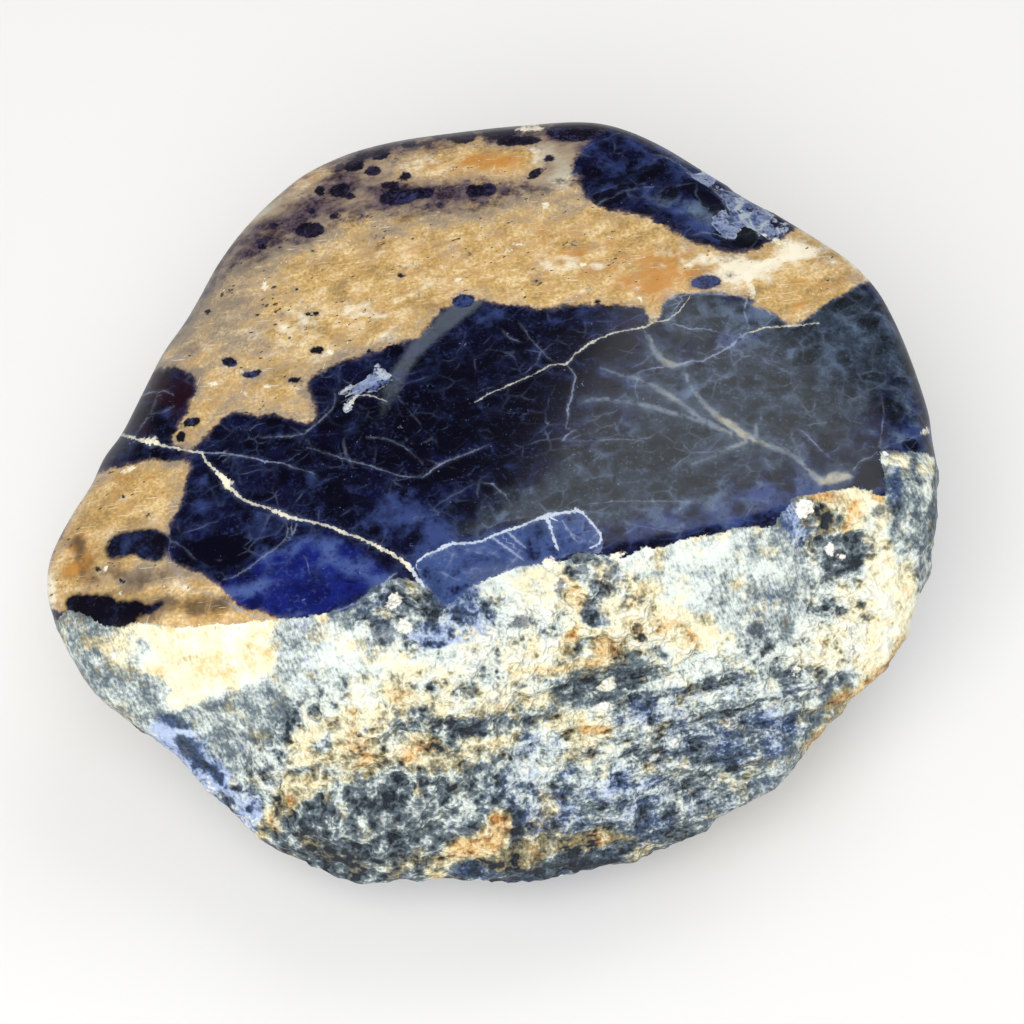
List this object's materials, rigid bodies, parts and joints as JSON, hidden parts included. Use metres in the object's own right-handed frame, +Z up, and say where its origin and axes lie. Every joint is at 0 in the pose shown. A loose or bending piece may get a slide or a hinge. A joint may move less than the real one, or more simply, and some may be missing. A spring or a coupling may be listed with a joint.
{
  "type": "rough sodalite",
  "caption": "Hand-sized rough sodalite with a polished domed face, a ground front bevel and natural broken sides, resting on a small flat spot.",
  "frame": {"origin": "middle of the footprint of the whole stone, on the surface it rests on", "axes": "+X to the right along the longest extent, +Y to the back, away from the ground front edge, +Z up through the polished face"},
  "size_m": [0.0732, 0.0668, 0.0296],
  "materials": {
    "sodalite": "deep blue sodalite with white veins and a tan feldspar band; polished on the face, frosted on the ground bevel, rough and pitted where it broke"
  },
  "bodies": {
    "root": {"sodalite": "sodalite"}
  },
  "joints": []
}
